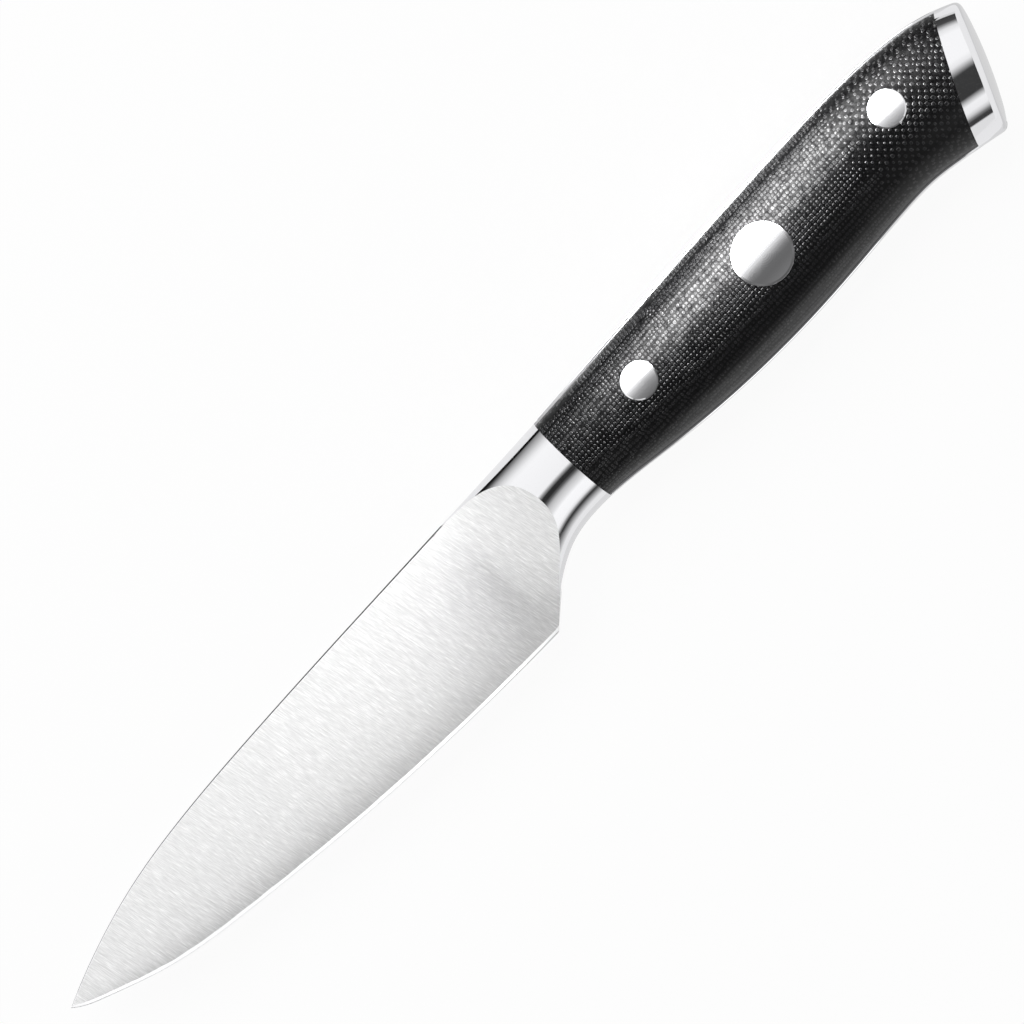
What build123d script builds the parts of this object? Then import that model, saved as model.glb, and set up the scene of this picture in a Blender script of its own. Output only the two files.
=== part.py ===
from build123d import *
import os

os.makedirs("parts", exist_ok=True)

# A paring knife with a full tang, lying on its right side, in millimetres.
# +X runs from the tip to the butt, +Y from the edge to the spine, +Z out of the left side.
# While the pieces are drawn, x = 0 is the heel corner, y = 0 the straight spine and
# z = 0 the middle of the steel. At the end all of them move by one vector, which puts
# the origin at the bottom centre of the whole knife.

# Blade
blade_length = 88.7  # tip to heel corner
blade_height = 23.1  # spine to heel corner
stock_thickness = 2.0  # the steel as rolled, which the tang keeps
spine_thickness = 1.8  # ground blade, at the spine above the heel
heel_thickness = 0.48  # ground blade just above the heel corner
tip_thickness = 0.48  # ground blade just behind the point
bevel_width = 0.6  # sharpened strip along the edge
choil_run = 5.0  # straight back of the blade, measured along the knife
choil_rise = 4.1  # and measured up from the heel corner

# Handle
handle_length = 106.9  # heel corner to the back of the end cap
handle_height = 20.5  # the tallest place of the grip
grip_thickness = 16.0  # the thickest place of the grip
tang_proud = 0.3  # how far buffing leaves the tang above the scales, top and bottom

# Bolster, and the wheel that sweeps the blade's flat up on to it
bolster_length = 20.0  # heel corner to the joint of bolster and scales
bolster_lead = 1.2  # how far ahead of the heel corner its halves start before grinding
ramp_start = -0.5  # where the flat ends, measured from the heel corner
ramp_radius = 20.0
ramp_sweep = 60  # degrees of the wheel's rim that touch
choil_relief = 1.4  # how much steeper the bolster's flank is than the choil cut into it

# End cap, between two slanted faces
cap_top_length = 3.5  # how much of the handle's length lies behind the joint's top end
cap_length = 5.0  # joint to the crown of the end face, in the middle
cap_front_lean = 28.8  # degrees between the joint and an upright line
cap_back_lean = 26.7  # degrees between the end face and an upright line
cap_dome_radius = 70.0  # the end face is a shallow dome
cap_edge_chamfer = 0.8
tenon_height = 8.0  # the tang's tail, seated in the end cap
tenon_length = 2.4

# Rivets: small, large, small, each a male and a female half pressed together
small_head = 5.8
large_head = 9.4
shank_diameter = 3.0
sleeve_diameter = 4.4
head_depth = 2.6  # head below the scale's surface, on its own axis
shank_tip_gap = 0.6  # end of the shank to the floor of the sleeve
press_gap = 0.02  # round pieces in round holes

# Reach of cutting shapes past what they cut
overrun = 3.0

# Blade outline: shares of its length ahead of the heel, and of its height below the spine
spine_shares = [
    (1.0, 0.327),
    (0.902, 0.197),
    (0.789, 0.0935),
    (0.66, 0.034),
    (0.48, 0.0062),
]
edge_shares = [
    (0.947, 0.445),
    (0.846, 0.5995),
    (0.676, 0.744),
    (0.451, 0.871),
    (0.225, 0.956),
]

# Handle outline: shares of its length behind the heel, and of its height above the spine
top_shares = [
    (0.187, 0.002),
    (0.327, 0.018),
    (0.514, 0.042),
    (0.674, 0.0465),
    (0.795, 0.035),
    (0.889, -0.0127),
    (0.9635, -0.113),
    (1.05, -0.36),
]
belly_shares = [
    (0.0748, -0.8366),
    (0.1029, -0.776),
    (0.1497, -0.7415),
    (0.1871, -0.7488),
    (0.2806, -0.8224),
    (0.3742, -0.896),
    (0.4677, -0.941),
    (0.5613, -0.9576),
    (0.6548, -0.948),
    (0.7484, -0.9317),
    (0.7951, -0.9385),
    (0.8419, -0.98),
    (0.9168, -1.0727),
    (1.05, -1.27),
]

# Side of the handle in the plan view: shares of its length, and of the grip's half thickness
side_shares = [
    (-0.05, 0.58),
    (0.03, 0.64),
    (0.1029, 0.735),
    (0.1871, 0.813),
    (0.3742, 0.94),
    (0.5613, 1.0),
    (0.7484, 0.97),
    (0.8793, 0.935),
    (1.05, 0.96),
]

# Sections across the handle
crown_share = 0.56  # height of the thickest line of a section, down from its top
oval_share = 0.5523  # reach of a quarter oval's control points, which makes it an ellipse

# Spans that the long curves of the handle are made of, straight ones but for the cap's
bolster_span_count = 10
grip_span_count = 20
cap_span_count = 3

# Rivets: shares of the handle's length behind the heel, and of its height below the spine
rivet_shares = {
    "front": (0.332, 0.356),
    "middle": (0.5725, 0.4),
    "rear": (0.8307, 0.356),
}
rivet_heads = {"front": small_head, "middle": large_head, "rear": small_head}

halvings = 40  # steps of the search along a line
half_stock = stock_thickness / 2
knife_length = blade_length + handle_length


def blade_point(share):
    return Vector(-share[0] * blade_length, -share[1] * blade_height)


def handle_point(share):
    return Vector(share[0] * handle_length, share[1] * handle_height)


# Lines of the side view, each running towards the butt
tip = blade_point(spine_shares[0])
heel = Vector(0, -blade_height)
choil_top = heel + Vector(choil_run, choil_rise)

spine_points = [blade_point(share) for share in spine_shares]
spine_line = Spline(*spine_points, (0, 0), tangents=[(1, 0.4), (1, 0)])

edge_points = [blade_point(share) for share in edge_shares]
edge_line = Spline(tip, *edge_points, heel, tangents=[(1, -0.9), (1, -0.03)])

top_points = [handle_point(share) for share in top_shares]
top_line = Spline((0, 0), *top_points)

belly_points = [handle_point(share) for share in belly_shares]
belly_line = Spline(choil_top, *belly_points, tangents=[(1, 0.78), (1, -0.3)])

side_line = Spline(*[(x * handle_length, y * grip_thickness / 2) for x, y in side_shares])


def height_at(line, x):
    """Height where a line crosses x, found by halving."""
    low = 0.0
    high = 1.0
    for _ in range(halvings):
        middle = (low + high) / 2
        if (line @ middle).X < x:
            low = middle
        else:
            high = middle
    return (line @ high).Y


def edge_height(x):
    """Height of the cutting edge, carried on straight past the tip and the heel."""
    if tip.X <= x <= heel.X:
        return height_at(edge_line, x)
    end = 0 if x < tip.X else 1
    corner = edge_line @ end
    course = edge_line % end
    return corner.Y + (x - corner.X) * course.Y / course.X


def top_height(x):
    return height_at(top_line, x) if x > 0 else 0.0


def belly_height(x):
    """Height of the belly. Ahead of it, the flank of the bolster before the choil is cut."""
    if x >= choil_top.X:
        return height_at(belly_line, x)
    return choil_top.Y + (x - choil_top.X) * choil_relief * choil_rise / choil_run


# The ground flat of the left side is one plane. Its slopes follow from the thickness of
# the blade at the spine, above the heel corner and behind the point.
slope_down = (spine_thickness - heel_thickness) / 2 / (blade_height - bevel_width)
slope_along = ((spine_thickness - tip_thickness) / 2 + slope_down * tip.Y) / blade_length


def flat_height(x, y):
    """Half thickness of the ground blade."""
    return spine_thickness / 2 + slope_down * y + slope_along * x


def grinding_wheel():
    """What grinding takes off the left side: all above the flat and the ramp behind it."""
    along = Vector(1, 0, slope_along)
    outward = Vector(-slope_along, -slope_down, 1)
    spine_corner = Vector(0, 0, spine_thickness / 2)
    wheel_plane = Plane(spine_corner, x_dir=along, z_dir=along.cross(outward))
    flat_start = Vector(-blade_length - overrun, 0)
    flat_end = Vector(ramp_start, 0)
    ramp = JernArc(flat_end, (1, 0), ramp_radius, ramp_sweep)
    ramp_top = ramp @ 1
    lid_corner = Vector(flat_start.X, ramp_top.Y)
    lid = [Line(ramp_top, lid_corner), Line(lid_corner, flat_start)]
    profile = Face(Wire([Line(flat_start, flat_end), ramp, *lid]))
    return extrude(wheel_plane * profile, amount=blade_height + 2 * overrun, both=True)


def below_bevel(height, floor):
    """Side view of what sharpening takes off the left side, at a height off the middle."""
    stations = [tip.X - overrun, tip.X]
    stations += [point.X for point in edge_points]
    stations += [heel.X, choil_top.X]
    points = []
    for x in stations:
        apex = edge_height(x)
        rise = bevel_width * height / flat_height(x, apex + bevel_width)
        points.append(Vector(x, apex + rise, height))
    rim = Spline(*points)
    start = Vector(points[0].X, floor, height)
    end = Vector(points[-1].X, floor, height)
    return Face(Wire([rim, Line(rim @ 1, end), Line(end, start), Line(start, rim @ 0)]))


def bevel_cut(floor):
    """What sharpening takes off the left side of the edge."""
    return loft([below_bevel(0, floor), below_bevel(spine_thickness / 2, floor)], ruled=True)


def quarter_oval(x, rim, crown, half):
    """A quarter of an ellipse across the knife, from its rim to its thickest line."""
    reach = oval_share * (rim - crown)
    return [
        Vector(x, rim, 0),
        Vector(x, rim, oval_share * half),
        Vector(x, crown + reach, half),
        Vector(x, crown, half),
    ]


def halved(points):
    """Two curves that make up the one curve with these four control points."""
    first, second, third, last = points
    near = (first + second) / 2
    far = (third + last) / 2
    before = (near + (second + third) / 2) / 2
    after = (far + (second + third) / 2) / 2
    middle = (before + after) / 2
    return [Bezier(first, near, before, middle), Bezier(middle, after, far, last)]


def handle_section(x, inset):
    """Oval section across the knife at x, drawn in at top and bottom by the inset."""
    half = height_at(side_line, x)
    top = top_height(x) - inset
    belly = belly_height(x) + inset
    crown = top - crown_share * (top - belly)
    quarters = [
        quarter_oval(x, top, crown, half),
        quarter_oval(x, belly, crown, half)[::-1],
        quarter_oval(x, belly, crown, -half),
        quarter_oval(x, top, crown, -half)[::-1],
    ]
    return Face(Wire([curve for points in quarters for curve in halved(points)]))


def spread(first, last, spans):
    """Stations at even steps from first to last."""
    return [first + (last - first) * step / spans for step in range(spans + 1)]


def handle_body(stations, inset=0.0, ruled=False):
    """The buffed shape of the handle, curved or straight from station to station."""
    return loft([handle_section(x, inset) for x in stations], ruled=ruled)


def slab(low, high):
    """All between two heights above the middle of the steel."""
    middle = Pos(0, 0, (low + high) / 2)
    return middle * Box(2 * knife_length, 2 * knife_length, high - low)


def behind(point, lean):
    """All behind a plane through a point of the side view that leans back at the top."""
    forward = Pos(knife_length / 2, 0, 0)
    place = Pos(*point) * Rot(0, 0, -lean) * forward
    return place * Box(knife_length, 2 * knife_length, knife_length)


# Joint of scales and end cap, from the top line down to the belly line
joint_x = handle_length - cap_top_length
joint_top = Vector(joint_x, top_height(joint_x))
joint_fall = Vector(0, -1).rotate(Axis.Z, -cap_front_lean)
joint_ray = Line(joint_top, joint_top + joint_fall * 2 * handle_height)
joint_foot = Vector(*belly_line.intersect(joint_ray)[0])
joint_middle = (joint_top + joint_foot) / 2

# Shapes that several pieces share
wheel_left = grinding_wheel()
wheel_right = mirror(wheel_left, about=Plane.XY)
bolster_stations = spread(choil_top.X, bolster_length + overrun, bolster_span_count)
bolster_body = handle_body([-bolster_lead] + bolster_stations, ruled=True)
grip_stations = spread(bolster_length - overrun, joint_x + overrun, grip_span_count)
grip_body = handle_body(grip_stations, inset=tang_proud, ruled=True)
cap_stations = spread(joint_foot.X - overrun, handle_length + overrun, cap_span_count)
cap_body = handle_body(cap_stations)
behind_bolster = behind(Vector(bolster_length, 0), 0)
behind_joint = behind(joint_top, cap_front_lean)
left_side = slab(half_stock, grip_thickness)

# Side view of the blade and its tang, before the bevel and the cap's joint are cut
choil_foot = choil_top + (heel - choil_top) * (1 + overrun / choil_rise)
tip_lead = tip - (spine_line % 0) * overrun / 2
tip_foot = Vector(tip_lead.X, choil_foot.Y)
outline = [
    Line(tip_lead, tip),
    spine_line,
    top_line,
    Line(top_line @ 1, belly_line @ 1),
    belly_line,
    Line(choil_top, choil_foot),
    Line(choil_foot, tip_foot),
    Line(tip_foot, tip_lead),
]
side_view = Face(Wire(outline))

# The straight back of the blade is ground through blade and bolster alike
below_choil = Polyline(choil_top, choil_foot, (choil_top.X, choil_foot.Y), close=True)
choil_cut = extrude(Face(below_choil.wire()), amount=grip_thickness, both=True)

# The tang's tail, square to the cap's joint
tail_place = Pos(*joint_middle) * Rot(0, 0, -cap_front_lean)
tenon = tail_place * Box(2 * tenon_length, tenon_height, stock_thickness)


def rod(place, diameter, low, high):
    """A round bar on a rivet's axis between two heights."""
    return Pos(place.X, place.Y, (low + high) / 2) * Cylinder(diameter / 2, high - low)


def rivet_seat(place):
    """Height of the shoulder that a rivet's head sits on, above the middle of the steel."""
    core = rod(place, shank_diameter, -grip_thickness, grip_thickness) & grip_body
    return core.bounding_box().max.Z - head_depth


def male_rivet(place, head, seat):
    """Head flush with the left scale, and the solid shank under it."""
    shank = rod(place, shank_diameter, shank_tip_gap - seat, seat)
    return (rod(place, head, seat, grip_thickness) & grip_body) + shank


def female_rivet(place, head, seat):
    """Head flush with the right scale, and the sleeve that takes the shank."""
    sleeve = rod(place, sleeve_diameter, -seat, seat - press_gap)
    bore = rod(place, shank_diameter + 2 * press_gap, -seat, seat)
    return (rod(place, head, -grip_thickness, -seat) & grip_body) + (sleeve - bore)


def rivet_hole(place, head, seat):
    """Stepped hole through the handle: a bore for the sleeve and a counterbore a side."""
    hole = rod(place, sleeve_diameter + 2 * press_gap, -grip_thickness, grip_thickness)
    hole += rod(place, head + 2 * press_gap, seat, grip_thickness)
    hole += rod(place, head + 2 * press_gap, -grip_thickness, -seat)
    return hole


pieces = {}
holes = []

# Rivets, and the holes that they need
for name, share in rivet_shares.items():
    place = Vector(share[0] * handle_length, -share[1] * handle_height)
    head = rivet_heads[name]
    seat = rivet_seat(place)
    pieces["rivet_" + name + "_male"] = male_rivet(place, head, seat)
    pieces["rivet_" + name + "_female"] = female_rivet(place, head, seat)
    holes.append(rivet_hole(place, head, seat))

# Blade with its full tang, one piece of steel
blade = extrude(side_view, amount=half_stock, both=True) - behind_joint + tenon
bevel_left = bevel_cut(choil_foot.Y - overrun)
blade = blade - wheel_left - wheel_right - bevel_left - mirror(bevel_left, about=Plane.XY)
for hole in holes:
    blade -= hole
pieces["blade"] = blade

# Bolster halves, welded to the flats of the stock and ground with the blade
bolster_left = (bolster_body & left_side) - behind_bolster - choil_cut - wheel_left
pieces["bolster_left"] = bolster_left
pieces["bolster_right"] = mirror(bolster_left, about=Plane.XY)

# Scales between the bolster and the end cap
scale_left = (grip_body & left_side & behind_bolster) - behind_joint
scale_right = mirror(scale_left, about=Plane.XY)
for hole in holes:
    scale_left -= hole
    scale_right -= hole
pieces["scale_left"] = scale_left
pieces["scale_right"] = scale_right

# End cap with its domed face and the pocket for the tang's tail
cap_aim = Vector(1, 0).rotate(Axis.Z, -cap_back_lean)
dome_centre = joint_middle + cap_aim * (cap_length - cap_dome_radius)
end_cap = cap_body & behind_joint & (Pos(*dome_centre) * Sphere(cap_dome_radius))
end_face = end_cap.faces().sort_by(Axis(joint_middle, cap_aim))[-1]
end_cap = chamfer(end_face.edges(), cap_edge_chamfer)
pieces["end_cap"] = end_cap - tenon

whole_box = Compound([piece.solid() for piece in pieces.values()]).bounding_box()
origin = Vector(whole_box.center().X, whole_box.center().Y, whole_box.min.Z)
for name, piece in pieces.items():
    export_step(Pos(*-origin) * piece, "parts/" + name + ".step")

print("Whole knife, mm:", whole_box.size)
print("Origin in the drawing's own frame, mm:", origin)
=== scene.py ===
import math

import bmesh
import bpy
import numpy as np
from mathutils import Matrix, Vector


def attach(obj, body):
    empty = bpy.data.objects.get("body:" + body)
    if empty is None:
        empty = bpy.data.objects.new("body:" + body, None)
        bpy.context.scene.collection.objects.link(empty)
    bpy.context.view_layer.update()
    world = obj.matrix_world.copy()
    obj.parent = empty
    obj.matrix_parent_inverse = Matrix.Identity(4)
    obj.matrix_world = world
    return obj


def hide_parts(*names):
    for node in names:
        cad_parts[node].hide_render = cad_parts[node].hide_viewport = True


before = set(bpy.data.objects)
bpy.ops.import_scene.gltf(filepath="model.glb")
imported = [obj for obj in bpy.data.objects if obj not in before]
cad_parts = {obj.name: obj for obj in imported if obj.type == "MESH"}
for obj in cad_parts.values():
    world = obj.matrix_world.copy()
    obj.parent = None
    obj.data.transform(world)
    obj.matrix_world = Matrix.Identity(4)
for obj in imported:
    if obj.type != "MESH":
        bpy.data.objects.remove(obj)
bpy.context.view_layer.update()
scene = bpy.context.scene

# The knife is drawn in millimetres as in the CAD source: x = 0 at the heel corner and
# growing to the butt, y = 0 at the straight spine, z = 0 in the middle of the steel.
# This corner turns the drawing into the frame's metres.
ORIGIN = np.array((8.965, -11.0712, -8.00441))


def metres(points):
    return (np.asarray(points, float) - ORIGIN) / 1000


def even(first, last, count):
    """Evenly spaced numbers."""
    return np.linspace(first, last, count)


def new_piece(name, mesh, materials):
    piece = bpy.data.objects.new(name, mesh)
    scene.collection.objects.link(piece)
    for material in materials:
        mesh.materials.append(material)
    return piece


# The camera: a long lens nearly square to the knife's left side.

CAMERA_DISTANCE = 3000.0
SENSOR_WIDTH = 36
VIEW_WIDTH = 148.36  # millimetres of the knife's side that the picture spans
VIEW_TURN = math.radians(47.4)  # how far the knife's length is turned up from level
VIEW_CENTRE = (8.6, -6.42, 3.0)
LEAN_TO_BUTT = math.radians(5.4)
LEAN_TO_BELLY = math.radians(2.6)


def make_camera():
    towards = Vector((math.tan(LEAN_TO_BUTT), -math.tan(LEAN_TO_BELLY), 1)).normalized()
    right = Vector((math.cos(VIEW_TURN), -math.sin(VIEW_TURN), 0))
    right = (right - right.dot(towards) * towards).normalized()
    up = towards.cross(right)
    data = bpy.data.cameras.new("camera")
    data.sensor_width = SENSOR_WIDTH
    data.lens = SENSOR_WIDTH * CAMERA_DISTANCE / VIEW_WIDTH
    data.clip_end = 10
    camera = bpy.data.objects.new("camera", data)
    scene.collection.objects.link(camera)
    place = Vector(metres(VIEW_CENTRE)) + towards * CAMERA_DISTANCE / 1000
    turn = Matrix((right, up, towards)).transposed().to_4x4()
    camera.matrix_world = Matrix.Translation(place) @ turn
    scene.camera = camera


make_camera()
scene.view_settings.view_transform = "Standard"


# Helpers for node trees. A node given as an input stands for its first output.

def linear(code):
    """An sRGB hex colour as linear red, green, blue and alpha."""
    values = [int(code[i:i + 2], 16) / 255 for i in (0, 2, 4)]
    values = [v / 12.92 if v <= 0.04045 else ((v + 0.055) / 1.055) ** 2.4 for v in values]
    return (*values, 1)


def add(tree, kind, inputs=None, **settings):
    """Adds a node with its settings, and sets or links its inputs, by name or number."""
    node = tree.nodes.new(kind)
    for name, value in settings.items():
        setattr(node, name, value)
    for name, value in (inputs or {}).items():
        if isinstance(value, bpy.types.Node):
            value = value.outputs[0]
        if isinstance(value, bpy.types.NodeSocket):
            tree.links.new(value, node.inputs[name])
        else:
            node.inputs[name].default_value = value
    return node


def compute(tree, operation, *values):
    """A sum on numbers, such as MULTIPLY_ADD: the first times the second, plus the third."""
    return add(tree, "ShaderNodeMath", dict(enumerate(values)), operation=operation)


def compute_vector(tree, operation, *values):
    """The same on vectors."""
    return add(tree, "ShaderNodeVectorMath", dict(enumerate(values)), operation=operation)


def blend(tree, share, first, second):
    """Goes from the first value to the second as the share goes from 0 to 1."""
    return add(tree, "ShaderNodeMix", {0: share, 2: first, 3: second}, data_type="FLOAT")


def remap(tree, value, old=(0.0, 1.0), new=(0.0, 1.0), easing="LINEAR"):
    """Carries a value from its old range to a new one, and holds it in that range."""
    return add(tree, "ShaderNodeMapRange", {
        "Value": value, "From Min": old[0], "From Max": old[1], "To Min": new[0], "To Max": new[1],
    }, interpolation_type=easing)


def noise(tree, place, scale, detail=2.0, roughness=0.5):
    return add(tree, "ShaderNodeTexNoise", {
        "Vector": place, "Scale": scale, "Detail": detail, "Roughness": roughness,
    })


def stretched(tree, place, scale=(1, 1, 1), turn=0.0):
    """Places scaled along each axis, then turned about z."""
    return add(tree, "ShaderNodeMapping", {
        "Vector": place, "Rotation": (0, 0, turn), "Scale": scale,
    })


def colours(tree, value, first, *between_and_last):
    """A colour that follows a value. Each stop is a position and a hex colour."""
    node = add(tree, "ShaderNodeValToRGB", {"Fac": value})
    *between, last = between_and_last
    for element, (position, code) in zip(node.color_ramp.elements, (first, last)):
        element.position = position
        element.color = linear(code)
    for position, code in between:
        node.color_ramp.elements.new(position).color = linear(code)
    return node


def object_place(tree):
    return add(tree, "ShaderNodeTexCoord").outputs["Object"]


def seen_directly(tree):
    """1 where a surface itself is seen, straight or in a reflection, 0 where it lights others."""
    path = add(tree, "ShaderNodeLightPath").outputs
    seen = compute(tree, "MAXIMUM", path["Is Camera Ray"], path["Is Glossy Ray"])
    return compute(tree, "MAXIMUM", seen, path["Is Transmission Ray"])


def new_material(name):
    """An empty material, its node tree and its output node."""
    material = bpy.data.materials.new(name)
    material.use_nodes = True
    tree = material.node_tree
    tree.nodes.clear()
    return material, tree, add(tree, "ShaderNodeOutputMaterial")


def add_surface(tree, output, shader):
    tree.links.new(shader.outputs[0], output.inputs["Surface"])


# Materials of the knife. Their places and lengths are in metres.

ACROSS_THE_LINES = (0.191, -0.982, 0.0)
CLOTH_SHEET = 0.0005
WARP_SPACING = 0.00064  # between the threads along the knife
WEFT_SPACING = 0.0007  # between the threads across it
REAR_CLOTH = (0.066, 0.080)  # x where the cut changes from dots to rings
SMOOTH_BELLY = (-0.006, 0.002)  # y where the smooth resin changes to cut cloth


def satin_stainless():
    """Stainless steel ground across the blade with a fine belt: fine slanting lines and a soft
    white sheen."""
    material, tree, output = new_material("satin_stainless_steel")
    # Lines 0.1 mm wide and 2 mm long, and fainter ones 0.2 mm wide, as the belt's grit leaves them.
    turned = stretched(tree, object_place(tree), turn=math.radians(-9))
    fine = noise(tree, stretched(tree, turned, (10000, 550, 2000)), 1.0, roughness=0.65)
    wide = noise(tree, stretched(tree, turned, (5000, 120, 400)), 1.0)
    both = blend(tree, 0.18, fine, wide)
    tone = colours(tree, both, (0.32, "D0D0D0"), (0.54, "E4E4E4"), (0.7, "FAFAFA"))
    rough = remap(tree, both, new=(0.38, 0.30))
    bump = add(tree, "ShaderNodeBump", {"Height": both, "Strength": 0.10, "Distance": 0.00002})
    # Ground steel spreads its reflections across the lines.
    facing = add(tree, "ShaderNodeNewGeometry").outputs["Normal"]
    across = compute_vector(tree, "CROSS_PRODUCT", facing, ACROSS_THE_LINES)
    steel = add(tree, "ShaderNodeBsdfPrincipled", {
        "Base Color": tone, "Metallic": 1.0, "Anisotropic": 0.6, "Tangent": across,
        "Roughness": rough, "Normal": bump,
    })
    add_surface(tree, output, steel)
    return material


def honed_edge():
    """The sharpened strip: the same steel off a finer stone, smoother and brighter than the
    flats."""
    material, tree, output = new_material("honed_stainless_edge")
    lines = stretched(tree, object_place(tree), (5000, 200, 200))
    rough = remap(tree, noise(tree, lines, 1.0), new=(0.24, 0.34))
    steel = add(tree, "ShaderNodeBsdfPrincipled", {
        "Base Color": linear("F2F2F3"), "Metallic": 1.0, "Roughness": rough,
    })
    add_surface(tree, output, steel)
    return material


def polished_stainless(name, colour, smooth, dull):
    """Stainless steel buffed to a mirror: sharp reflections, broken only by hairline wipe marks."""
    material, tree, output = new_material(name)
    place = object_place(tree)
    # Wipe marks a tenth of a millimetre wide, and cloudy patches of about 4 mm.
    marks = noise(tree, stretched(tree, place, (9000, 500, 900), turn=0.5), 1.0)
    cloud = noise(tree, place, 250.0)
    rough = remap(tree, blend(tree, 0.5, marks, cloud), (0.3, 0.7), (smooth, dull))
    steel = add(tree, "ShaderNodeBsdfPrincipled", {
        "Base Color": linear(colour), "Metallic": 1.0, "Roughness": rough,
    })
    add_surface(tree, output, steel)
    return material


def cut_cloth(tree, place, spot):
    """Sheets of woven cloth cut open by a curved surface: the threads, 1 inside them and 0 in the
    resin, and the bright ring round each."""
    # The sheets lie parallel to the tang, a little wavy. Each is shifted a little.
    wave = noise(tree, place, 90.0, detail=1.0)
    wavy = compute(tree, "MULTIPLY_ADD", wave, 0.0006, spot["Z"])
    sheets = compute(tree, "DIVIDE", wavy, CLOTH_SHEET)
    number = compute(tree, "FLOOR", sheets)
    random = add(tree, "ShaderNodeTexWhiteNoise", {"W": number}, noise_dimensions="1D")
    shift = compute_vector(tree, "MULTIPLY", random.outputs["Color"], (0.0006, 0.0006, 0.0))
    wander = noise(tree, place, 900.0, detail=1.0).outputs["Color"]
    drift = compute_vector(tree, "MULTIPLY", wander, (0.0003, 0.0003, 0.0))
    shifted = compute_vector(tree, "ADD", place, shift)
    lie = compute_vector(tree, "ADD", shifted, drift)
    # Threads cross over and under in turn.
    along = add(tree, "ShaderNodeSeparateXYZ", {"Vector": lie}).outputs
    warp_turn = compute(tree, "MULTIPLY", along["X"], math.pi / WARP_SPACING)
    weft_turn = compute(tree, "MULTIPLY", along["Y"], math.pi / WEFT_SPACING)
    warp = compute(tree, "SINE", warp_turn)
    weft = compute(tree, "SINE", weft_turn)
    crossing = compute(tree, "MULTIPLY", warp, weft)
    dots = compute(tree, "ABSOLUTE", crossing)
    crowns = compute(tree, "MULTIPLY_ADD", crossing, 0.5, 0.5)
    # Both threads are cut open from the bolster to behind the middle, at the rear every second
    # crown.
    rear = remap(tree, spot["X"], REAR_CLOTH, easing="SMOOTHSTEP")
    height = blend(tree, rear, dots, crowns)
    # The surface cuts each sheet at a changing depth, so its threads grow and shrink.
    through = compute(tree, "FRACT", sheets)
    depth = compute(tree, "ABSOLUTE", compute(tree, "MULTIPLY_ADD", through, 2.0, -1.0))
    lowest = compute(tree, "MULTIPLY_ADD", rear, 0.3, 0.34)
    swing = compute(tree, "MULTIPLY_ADD", rear, -0.26, 0.54)
    cut_level = compute(tree, "MULTIPLY_ADD", depth, swing, lowest)
    above = compute(tree, "SUBTRACT", height, cut_level)
    thread = remap(tree, above, (-0.08, 0.08), easing="SMOOTHSTEP")
    ring = remap(tree, compute(tree, "ABSOLUTE", above), (0.0, 0.13), (1.0, 0.0))
    return thread, ring


def glass_laminate():
    """Woven glass cloth pressed in black resin and buffed: satin black, its threads laid bare
    where the curved surface cuts one sheet of cloth after another."""
    material, tree, output = new_material("black_woven_laminate")
    place = object_place(tree)
    spot = add(tree, "ShaderNodeSeparateXYZ", {"Vector": place}).outputs
    thread, ring = cut_cloth(tree, place, spot)
    colour = colours(tree, thread, (0.0, "0A0A0B"), (1.0, "151517"))
    # Cut glass threads shine more than the resin round them, and the belt leaves a fine grain.
    grain = noise(tree, place, 6000.0)
    patches = noise(tree, place, 1200.0)
    grainy = compute(tree, "MULTIPLY_ADD", grain, 3.0, -0.3)
    patchy = compute(tree, "MULTIPLY_ADD", patches, 2.4, -0.4)
    base = compute(tree, "MULTIPLY_ADD", thread, 0.2, 0.1)
    bright = compute(tree, "MULTIPLY_ADD", ring, 0.75, base)
    woven = compute(tree, "MULTIPLY", bright, compute(tree, "MULTIPLY", grainy, patchy))
    # Towards the belly the cut runs along one sheet, so the resin over it is left smooth.
    bare = remap(tree, spot["Y"], SMOOTH_BELLY, (0.3, 1.0), easing="SMOOTHSTEP")
    gloss = blend(tree, bare, 0.3, woven)
    rough = remap(tree, grain, new=(0.26, 0.42))
    relief = compute(tree, "MULTIPLY_ADD", grain, 0.6, thread)
    strength = compute(tree, "MULTIPLY", bare, 0.85)
    bump = add(tree, "ShaderNodeBump", {
        "Height": relief, "Strength": strength, "Distance": 0.00004,
    })
    resin = add(tree, "ShaderNodeBsdfPrincipled", {
        "Base Color": colour, "Roughness": rough, "IOR": 1.5, "Specular IOR Level": gloss,
        "Normal": bump,
    })
    # The mean, for viewers that can't read the pattern.
    resin.inputs["Specular IOR Level"].default_value = 0.2
    add_surface(tree, output, resin)
    return material


SATIN = satin_stainless()
HONED = honed_edge()
POLISHED = polished_stainless("polished_stainless_steel", "E6E6E8", 0.04, 0.10)
RIVET = polished_stainless("buffed_rivet_steel", "E2E2E4", 0.04, 0.08)
LAMINATE = glass_laminate()
STEELS = [POLISHED, SATIN, HONED, HONED]  # buffed, ground, sharpened and honed faces, in turn


# The lines of the knife, in millimetres of the drawing.

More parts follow.
